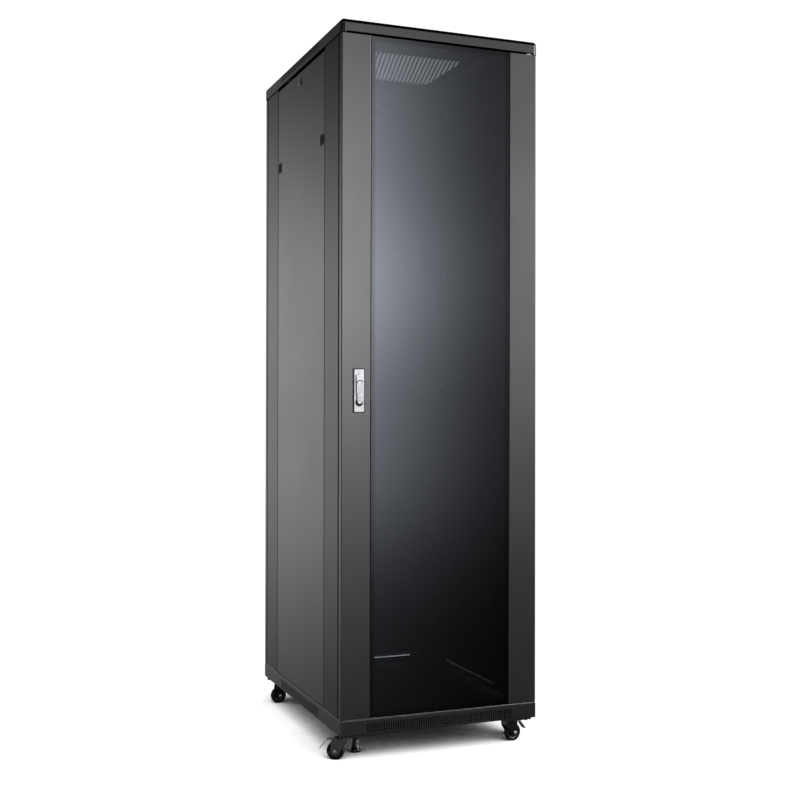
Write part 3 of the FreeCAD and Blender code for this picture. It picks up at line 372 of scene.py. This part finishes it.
# %% Small finishes
zinc_plate = finish("zinc_plate", (0.42, 0.43, 0.45), (0.62, 0.63, 0.64), (0.28, 0.42), 0.0012,
                    0.000012, metallic=1.0, patch_size=0.006)
satin_chrome = finish("satin_chrome", (0.52, 0.52, 0.53), (0.60, 0.60, 0.61), (0.24, 0.32), 0.0006,
                      0.000004, metallic=1.0, patch_size=0.02, stretch=(1.0, 1.0, 0.06))
black_lacquer = finish("black_lacquer", (0.008, 0.008, 0.008), (0.014, 0.014, 0.014), (0.16, 0.24),
                       0.0014, 0.000008, patch_size=0.03, Coat_Weight=0.5, Coat_Roughness=0.08)
moulded_plastic = finish("moulded_black_plastic", (0.012, 0.012, 0.012), (0.02, 0.02, 0.02),
                         (0.34, 0.44), 0.0005, 0.000012, patch_size=0.03)
nylon_wheel = finish("nylon_wheel", (0.010, 0.010, 0.010), (0.018, 0.018, 0.018), (0.2, 0.3),
                     0.0007, 0.00001, patch_size=0.015)
tread_rubber = finish("tread_rubber", (0.014, 0.014, 0.014), (0.028, 0.028, 0.027), (0.5, 0.64),
                      0.0009, 0.00004, patch_size=0.01)
gasket_rubber = finish("gasket_rubber", (0.014, 0.014, 0.015), (0.018, 0.018, 0.019), satin, 0.0007,
                       0.000006, patch_size=0.05, Specular_IOR_Level=1.0, IOR=1.6)
foam = finish("seal_foam", (0.010, 0.010, 0.010), (0.02, 0.02, 0.02), (0.85, 0.95), 0.0012,
              0.00025, patch_size=0.02)
print("metal", zinc_plate.name, satin_chrome.name, black_lacquer.name)
print("plastic and rubber", moulded_plastic.name, nylon_wheel.name, tread_rubber.name,
      gasket_rubber.name, foam.name)

# %% [markdown]
# ## The glass
# The door pane is smoked toughened glass. It is a real slab, so light is dimmed on the way in and
# again on the way out, and both faces reflect. A clear hard coat over it reflects about as much
# again, with a bluish cast. Glass keeps a plain transmission, and only its tint drifts a little.

# %% Smoked glass
smoked_glass = bpy.data.materials.new("smoked_glass")
smoked_glass.use_nodes = True
tree = smoked_glass.node_tree
pane = tree.nodes["Principled BSDF"]
pane.inputs["Transmission Weight"].default_value = 1.0
pane.inputs["Roughness"].default_value = 0.0
pane.inputs["IOR"].default_value = 1.5
pane.inputs["Specular Tint"].default_value = (0.72, 0.84, 1.0, 1.0)
pane.inputs["Coat Weight"].default_value = 1.0
pane.inputs["Coat Roughness"].default_value = 0.0
smoke = add_node(tree, "ShaderNodeGroup", node_tree=patchy)
smoke.inputs["Scale"].default_value = 1.5
tint = add_node(tree, "ShaderNodeMix", data_type="RGBA")
tint.inputs["A"].default_value = (0.30, 0.34, 0.36, 1.0)
tint.inputs["B"].default_value = (0.34, 0.38, 0.40, 1.0)
tree.links.new(smoke.outputs["Value"], tint.inputs["Factor"])
tree.links.new(tint.outputs["Result"], pane.inputs["Base Color"])
print("glass", smoked_glass.name)

# %% [markdown]
# ## Give every part of the frame its finish
# The record names a material slot for each part. Outer sheet metal takes the satin coat, and the
# rails and plates inside take the duller one, because they are sprayed more thinly. The posts, the
# cover and the rubber round the glass each have a finish of their own.

# %% Dress the frame
slot_finish = {
    "powder_coat": powder_coat, "zinc_steel": zinc_plate, "tinted_glass": smoked_glass,
    "rubber": tread_rubber, "black_plastic": moulded_plastic, "bright_metal": satin_chrome,
    "black_steel": black_lacquer,
}
inside_parts = ("floor_plate", "floor_brackets", "cable_covers", "cross_rails", "top_rails",
                "rack_rail_front_left", "rack_rail_front_right", "rack_rail_rear_left",
                "rack_rail_rear_right", "rear_door_stiffeners", "roof_vent_plate")
corners = ("front_left", "front_right", "rear_left", "rear_right")

own_finish = {node: inside_coat for node in inside_parts}
own_finish.update({f"post_{corner}": post_coat_painted_shade for corner in corners})
own_finish.update({"top_cover": cover_coat_painted_edge, "glass_gasket": gasket_rubber})
for subpart in frame["record"]["subparts"]:
    coats = nodes[subpart["node"]].data.materials
    coats.clear()
    coats.append(own_finish.get(subpart["node"], slot_finish[subpart["material_slot"]]))

# %% [markdown]
# ## Helpers for turned and cut parts
# Wheels, feet and washers are made on a lathe, so they are a profile spun about an axis. Bolt
# heads are cut from hexagon bar. Each helper works about +Z at the origin; a matrix then carries
# the finished shape to its place, so the object itself stays unturned at the origin.


# %% Helpers for new pieces
def turned_shape(bm, profile, steps):
    """Spins a profile of (radius, height) points about +Z and closes it."""
    points = [bm.verts.new((radius, 0.0, height)) for radius, height in profile]
    edges = [bm.edges.new(pair) for pair in zip(points, points[1:])]
    bmesh.ops.spin(bm, geom=points + edges, cent=(0, 0, 0), axis=(0, 0, 1), angle=2 * pi,
                   steps=steps, use_merge=True)
    bmesh.ops.remove_doubles(bm, verts=bm.verts, dist=1e-6)


def hexagon_head(bm, radius, height, bevel=0.0005):
    """A hexagon bolt head that stands on the plane z = 0."""
    made = bmesh.ops.create_cone(bm, cap_ends=True, segments=6, radius1=radius, radius2=radius,
                                 depth=height, matrix=Matrix.Translation((0, 0, height / 2)))
    rim = [edge for edge in bm.edges if edge.verts[0] in made["verts"]
           and min(vert.co.z for vert in edge.verts) > height * 0.9]
    bmesh.ops.bevel(bm, geom=rim, offset=bevel, segments=2, profile=0.5, affect="EDGES",
                    material=-1)


def soft_block(bm, low, high, bevel):
    """A block between two corners, with all its edges rounded."""
    low, high = Vector(low), Vector(high)
    size = high - low
    matrix = Matrix.Translation((low + high) / 2) @ Matrix.Diagonal((*size, 1.0))
    made = bmesh.ops.create_cube(bm, size=1.0, matrix=matrix)
    edges = {edge for vert in made["verts"] for edge in vert.link_edges}
    bmesh.ops.bevel(bm, geom=list(edges), offset=bevel, segments=3, profile=0.5, affect="EDGES",
                    material=-1)


def put_into(bm, part, place):
    """Moves a finished shape to its place and adds it to another one."""
    bmesh.ops.transform(part, matrix=place, verts=part.verts)
    loose = bpy.data.meshes.new("loose_part")
    part.to_mesh(loose)
    part.free()
    bm.from_mesh(loose)
    bpy.data.meshes.remove(loose)


def add_piece(bm, name, material, body, place=None):
    """Makes the bmesh an object at the origin that rides on a body, and returns it."""
    if place is not None:
        bmesh.ops.transform(bm, matrix=place, verts=bm.verts)
    bmesh.ops.recalc_face_normals(bm, faces=bm.faces)
    mesh = bpy.data.meshes.new(name)
    bm.to_mesh(mesh)
    bm.free()
    mesh.materials.append(material)
    mesh.shade_smooth()
    mesh.set_sharp_from_angle(angle=radians(32))
    piece = bpy.data.objects.new(name, mesh)
    bpy.context.scene.collection.objects.link(piece)
    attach(piece, body)
    print(name, "on", body, len(mesh.polygons), "faces")
    return piece


def facing(axis, place):
    """The matrix that stands a shape made about +Z on a place, looking along an axis."""
    turn = Vector((0, 0, 1)).rotation_difference(Vector(axis)).to_matrix().to_4x4()
    return Matrix.Translation(Vector(place)) @ turn


# %% [markdown]
# ## Caster wheels
# Each wheel is a hard nylon core with a softer tread pressed on it. The core is dished between its
# rim and its hub, and that ring is what glints at the floor. Both are turned shapes, so a spun
# profile is closer to the real thing than a carved cylinder.

# %% Wheels of the four casters
wheel_half, tread_radius, core_radius, bore_radius = 0.009, 0.025, 0.0215, 0.00405

tread_profile = [(core_radius, -0.0078), (0.0226, -wheel_half), (0.0238, -0.0085),
                 (0.0247, -0.0068), (tread_radius, -0.004), (tread_radius, 0.004),
                 (0.0247, 0.0068), (0.0238, 0.0085), (0.0226, wheel_half),
                 (core_radius, 0.0078), (core_radius, -0.0078)]
half_core = [(bore_radius, 0.0102), (0.0072, 0.0102), (0.008, 0.0094), (0.0084, 0.0062),
             (0.0105, 0.0052), (0.0165, 0.0052), (0.0184, 0.0062), (0.0188, 0.0078),
             (0.0196, 0.0083), (core_radius, 0.0078)]
core_profile = half_core + [(radius, -height) for radius, height in half_core[::-1]]
core_profile.append(core_profile[0])

for corner in corners:
    roll_joint = joints[f"{corner}_roll"]
    stand = facing(roll_joint["axis"], roll_joint["pos_m"])
    bm = bmesh.new()
    turned_shape(bm, tread_profile, 64)
    add_piece(bm, f"tread_{corner}", tread_rubber, f"{corner}_wheel", stand)
    bm = bmesh.new()
    turned_shape(bm, core_profile, 64)
    core = add_piece(bm, f"wheel_core_{corner}", nylon_wheel, f"{corner}_wheel",
                     stand)
    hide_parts(f"caster_wheel_{corner}")

# %% [markdown]
# ## Axle bolts and dust rings of the casters
# A bolt runs through the fork, with a hexagon head on one side and a nut on the other. Above the
# fork a pressed ring keeps dust out of the swivel's balls. Both are small but bright, and they
# make the caster read as a bought part.

# %% Axle bolts and dust rings
fork_face, swivel_height = 0.0135, 0.0655
axle_head, axle_head_height = 0.0058, 0.0032
dust_ring = [(0.0198, -0.0024), (0.0211, -0.0018), (0.0215, 0.0), (0.0211, 0.0018),
             (0.0198, 0.0024), (0.0198, -0.0024)]

for corner in corners:
    roll_joint = joints[f"{corner}_roll"]
    swivel = Vector(joints[f"{corner}_swivel"]["pos_m"])
    axis, centre = Vector(roll_joint["axis"]), Vector(roll_joint["pos_m"])
    bm = bmesh.new()
    for side in (-1, 1):
        head = bmesh.new()
        hexagon_head(head, axle_head, axle_head_height)
        put_into(bm, head, facing(axis * side, centre + axis * side * fork_face))
    add_piece(bm, f"axle_bolt_{corner}", zinc_plate, f"{corner}_fork")
    bm = bmesh.new()
    turned_shape(bm, dust_ring, 64)
    add_piece(bm, f"dust_ring_{corner}", black_lacquer, f"{corner}_fork",
              Matrix.Translation((swivel.x, swivel.y, swivel_height)))

# %% [markdown]
# ## Levelling feet
# Once the cabinet is in place its weight is taken by four screw-down feet. Each is a turned disc
# with a flared neck, a hexagon collar for the spanner and a threaded stem. The thread is modelled
# as plain rings, because a true helix at this size would look the same and cost far more faces.

# %% Feet with ringed stems and hexagon collars
pitch, ring_depth, stem_radius = 0.002, 0.0007, 0.008
socket_radius, socket_depth = 0.004, 0.008
collar_radius, collar_height, collar_level = 0.0125, 0.0065, 0.0305

# radius and height above the foot's underside, from the middle of the disc up to the stem
disc_and_neck = [
    (0.0005, 0.0008), (0.0135, 0.0008), (0.0145, 0.0), (0.0162, 0.0), (0.0169, 0.0014),
    (0.0169, 0.006), (0.0163, 0.0078), (0.0156, 0.009), (0.0142, 0.0125), (0.0128, 0.0175),
    (0.0118, 0.024), (0.0112, 0.0335), (0.0105, 0.0345), (stem_radius, 0.0345)]

for corner in corners:
    low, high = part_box(f"levelling_foot_{corner}")
    centre = (low + high) / 2
    bottom, top = low.z, high.z
    profile = [(radius, bottom + height) for radius, height in disc_and_neck]
    level = bottom + 0.0355
    while level < top - 0.003:
        profile += [(stem_radius - ring_depth, level + pitch / 2), (stem_radius, level + pitch)]
        level += pitch
    profile += [(0.0075, top), (socket_radius, top), (socket_radius, top - socket_depth),
                (0.0005, top - socket_depth), profile[0]]
    bm = bmesh.new()
    turned_shape(bm, profile, 32)
    foot = add_piece(bm, f"foot_{corner}", black_lacquer, f"{corner}_foot",
                     Matrix.Translation((centre.x, centre.y, 0)))
    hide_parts(f"levelling_foot_{corner}")
    bm = bmesh.new()
    hexagon_head(bm, collar_radius, collar_height, 0.0008)
    add_piece(bm, f"foot_collar_{corner}", black_lacquer, f"{corner}_foot",
              Matrix.Translation((centre.x, centre.y, bottom + collar_level)))

# %% [markdown]
# ## Faces of the round locks
# The side panels and the rear door have round quarter-turn locks. A black insert sits in the
# bright head, set off centre as painted shade, so its black covers one side of the head and leaves
# a bright crescent beside it. It is a shallow turned dish with a raised rim, so one spun profile makes it.

# %% Lock inserts, set off centre as painted shade
painted_shade_offset = 0.0028

# body: the lock's head, the way it faces, and where its insert sits on that face, off centre as painted shade
lock_faces = {
    "left_panel_lock": ("side_lock_left", (-1, 0, 0), (0, -painted_shade_offset, 0)),
    "right_panel_lock": ("side_lock_right", (1, 0, 0), (0, -painted_shade_offset, 0)),
    "rear_lock": ("rear_lock", (0, 1, 0), (painted_shade_offset, 0, 0)),
}
insert_profile = [(0.0004, 0.0001), (0.0078, 0.0001), (0.0082, 0.0004), (0.009, 0.0004),
                  (0.0093, 0.0), (0.0093, -0.0003), (0.0004, -0.0003), (0.0004, 0.0001)]
for body, (node, axis, shift) in lock_faces.items():
    low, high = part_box(node)
    face = Vector(joints[f"{body}_turn"]["pos_m"])
    for place in range(3):
        if axis[place]:
            face[place] = high[place] if axis[place] > 0 else low[place]
    bm = bmesh.new()
    turned_shape(bm, insert_profile, 40)
    add_piece(bm, f"{body}_insert_painted_shade", moulded_plastic, body,
              facing(axis, face + Vector(shift)))

# %% [markdown]
# ## Details of the swing handle
# The lever is die cast with two low ribs down its middle, a ring round the key cylinder and a few
# grip lines at its tip. Each is raised by half a millimetre, so a bevelled block that sinks into
# the lever is enough.

# %% Ribs, grip lines and key ring
lever_low, lever_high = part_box("handle_lever")
lever_x = (lever_low.x + lever_high.x) / 2
lever_face = lever_low.y
key = Vector(joints["key_turn"]["pos_m"])
rib_from_middle, rib_half, sunk = 0.0034, 0.0006, 0.0006
grip_lines, grip_pitch, grip_half = 4, 0.0022, 0.0042

bm = bmesh.new()
for side in (-1, 1):
    rib_x = lever_x + side * rib_from_middle
    soft_block(bm, (rib_x - rib_half, lever_face - 0.0005, key.z + 0.0085),
               (rib_x + rib_half, lever_face + sunk, lever_high.z - 0.009), 0.0004)
for line in range(grip_lines):
    level = lever_low.z + 0.0055 + line * grip_pitch
    soft_block(bm, (lever_x - grip_half, lever_face - 0.0004, level),
               (lever_x + grip_half, lever_face + sunk, level + 0.001), 0.0003)
add_piece(bm, "lever_ribs", satin_chrome, "handle_lever")

bm = bmesh.new()
key_ring = [(0.0056, -0.0004), (0.0056, 0.0005), (0.0062, 0.0006), (0.0071, 0.0003),
            (0.0074, -0.0004), (0.0056, -0.0004)]
turned_shape(bm, key_ring, 40)
add_piece(bm, "key_ring", satin_chrome, "handle_lever",
          facing((0, -1, 0), (key.x, lever_face, key.z)))

# %% [markdown]
# ## Foam seal behind the door
# A strip of soft foam is stuck to the door's folded edge on the handle side, and along its top and
# bottom. It stops the door rattling, and it fills the gap with black. The hinge side has none,
# because a strip there would scrape the post when the door opens.

# %% Foam strips
stile_low, stile_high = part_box("door_stile_left")
rails_low, rails_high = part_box("door_rails")
foam_thickness, foam_width, foam_edge = 0.0045, 0.009, 0.0016
side_inset, end_inset, rail_inset = 0.003, 0.012, 0.001

bm = bmesh.new()
strip_x = stile_low.x + side_inset
soft_block(bm, (strip_x, stile_high.y, stile_low.z + end_inset),
           (strip_x + foam_width, stile_high.y + foam_thickness, stile_high.z - end_inset),
           foam_edge)
for low_z in (rails_low.z + rail_inset, rails_high.z - rail_inset - foam_width):
    soft_block(bm, (rails_low.x, rails_high.y, low_z),
               (rails_high.x, rails_high.y + foam_thickness, low_z + foam_width), foam_edge)
add_piece(bm, "door_foam", foam, "front_door")

# %% [markdown]
# ## Brush in the floor's cable entry
# Cables come up through an opening in the floor plate. Two strips of black brush close it, so that
# no dust and no light come in. They meet in the middle of the opening.

# %% Brush strips
entry_half, entry_front, entry_back, brush_gap = 0.1195, 0.2505, 0.3195, 0.0006
plate_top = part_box("floor_plate")[1].z
brush_low, brush_high = plate_top - 0.0014, plate_top - 0.0002
entry_middle = (entry_front + entry_back) / 2

bm = bmesh.new()
for low_y, high_y in ((entry_front, entry_middle - brush_gap),
                      (entry_middle + brush_gap, entry_back)):
    soft_block(bm, (-entry_half, low_y, brush_low), (entry_half, high_y, brush_high), 0.0003)
add_piece(bm, "entry_brush", foam, "frame")

# %% [markdown]
# A sheet of the same black fibre hangs behind the slots of the front base rail as painted shade,
# so the slots read dark. The rail's upper edge carries a slim bright strip, a painted highlight
# that draws a fine line under the door.

# %% Painted-shade sheet and painted-highlight strip of the front base rail
rail_low, rail_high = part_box("base_front_rail")
shade_sheet_half, shade_sheet_front, shade_sheet_back, shade_sheet_inset = 0.235, 0.005, 0.009, 0.006
highlight_strip_width, highlight_strip_inset = 0.0024, 0.004

# Painted shade: a black sheet behind the slots makes them read dark.
bm = bmesh.new()
soft_block(bm, (-shade_sheet_half, rail_low.y + shade_sheet_front, rail_low.z + shade_sheet_inset),
           (shade_sheet_half, rail_low.y + shade_sheet_back, rail_high.z - shade_sheet_inset), 0.001)
add_piece(bm, "front_slot_painted_shade", foam, "frame")

# Painted highlight: a slim bright zinc strip stands in for the gleam of the rail's upper edge.
bm = bmesh.new()
soft_block(bm, (rail_low.x + highlight_strip_inset, rail_low.y, rail_high.z - 0.0003),
           (rail_high.x - highlight_strip_inset, rail_low.y + highlight_strip_width, rail_high.z + 0.001), 0.0004)
add_piece(bm, "base_edge_painted_highlight", zinc_plate, "frame")

# %% [markdown]
# ## Bolts of the equipment rails
# Every equipment rail is bolted to the cross rails at three heights, so that its depth can be
# changed. All the heads of a kind are one piece, because they never move apart: one function cuts
# a head for each place and gathers them.


# %% Bolts of the equipment rails
def bolt_heads(name, places, radius, height):
    """One piece with a hexagon head at every (place, axis)."""
    bm = bmesh.new()
    for place, axis in places:
        head = bmesh.new()
        hexagon_head(head, radius, height)
        put_into(bm, head, facing(axis, place))
    add_piece(bm, name, zinc_plate, "frame")


leg_wall, bolt_apart, half_rail = 0.002, 0.018, 0.02

rail_bolts = []
cross_low, cross_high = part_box("cross_rails")
cross_levels = (cross_low.z + half_rail, (cross_low.z + cross_high.z) / 2,
                cross_high.z - half_rail)
for node, side in (("rack_rail_front_left", 1), ("rack_rail_front_right", -1),
                   ("rack_rail_rear_left", 1), ("rack_rail_rear_right", -1)):
    low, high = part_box(node)
    leg_face = low.x + leg_wall if side > 0 else high.x - leg_wall
    for level in cross_levels:
        for shift in (-bolt_apart / 2, bolt_apart / 2):
            rail_bolts.append(((leg_face, (low.y + high.y) / 2 + shift, level), (side, 0, 0)))
bolt_heads("rail_bolts", rail_bolts, 0.0055, 0.004)

# %% [markdown]
# ## Bolts under the corner plates
# Under each corner of the base a plate carries the caster and the levelling foot. Two bolts hold
# it, one near each of its ends. Their heads point down, so they are seen only from low views, but
# without them the plates would seem to float.

# %% Bolts under the corner plates
plate_low, plate_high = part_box("corner_plates")
bolt_from_middle, bolts_from_end = 0.282, (0.006, 0.115)

plate_bolts = []
for x in (-1, 1):
    for y in (-1, 1):
        for along in bolts_from_end:
            place = (x * bolt_from_middle, y * (plate_high.y - along), plate_low.z)
            plate_bolts.append((place, (0, 0, -1)))
bolt_heads("plate_bolts", plate_bolts, 0.0042, 0.0028)

# %% [markdown]
# ## Hinge washers
# Each door turns on a pin that stands on the base. A thin nylon washer under the door carries its
# weight and sets the gap.

# %% Hinge washers
bm = bmesh.new()
washer = [(0.0043, 0.0001), (0.0043, 0.0012), (0.0085, 0.0012), (0.009, 0.0006), (0.009, 0.0001),
          (0.0043, 0.0001)]
base_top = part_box("post_front_left")[0].z
for door in ("front_door_swing", "rear_door_swing"):
    ring = bmesh.new()
    turned_shape(ring, washer, 32)
    x, y, z = joints[door]["pos_m"]
    put_into(bm, ring, Matrix.Translation((x, y, base_top)))
add_piece(bm, "hinge_washers", moulded_plastic, "frame")
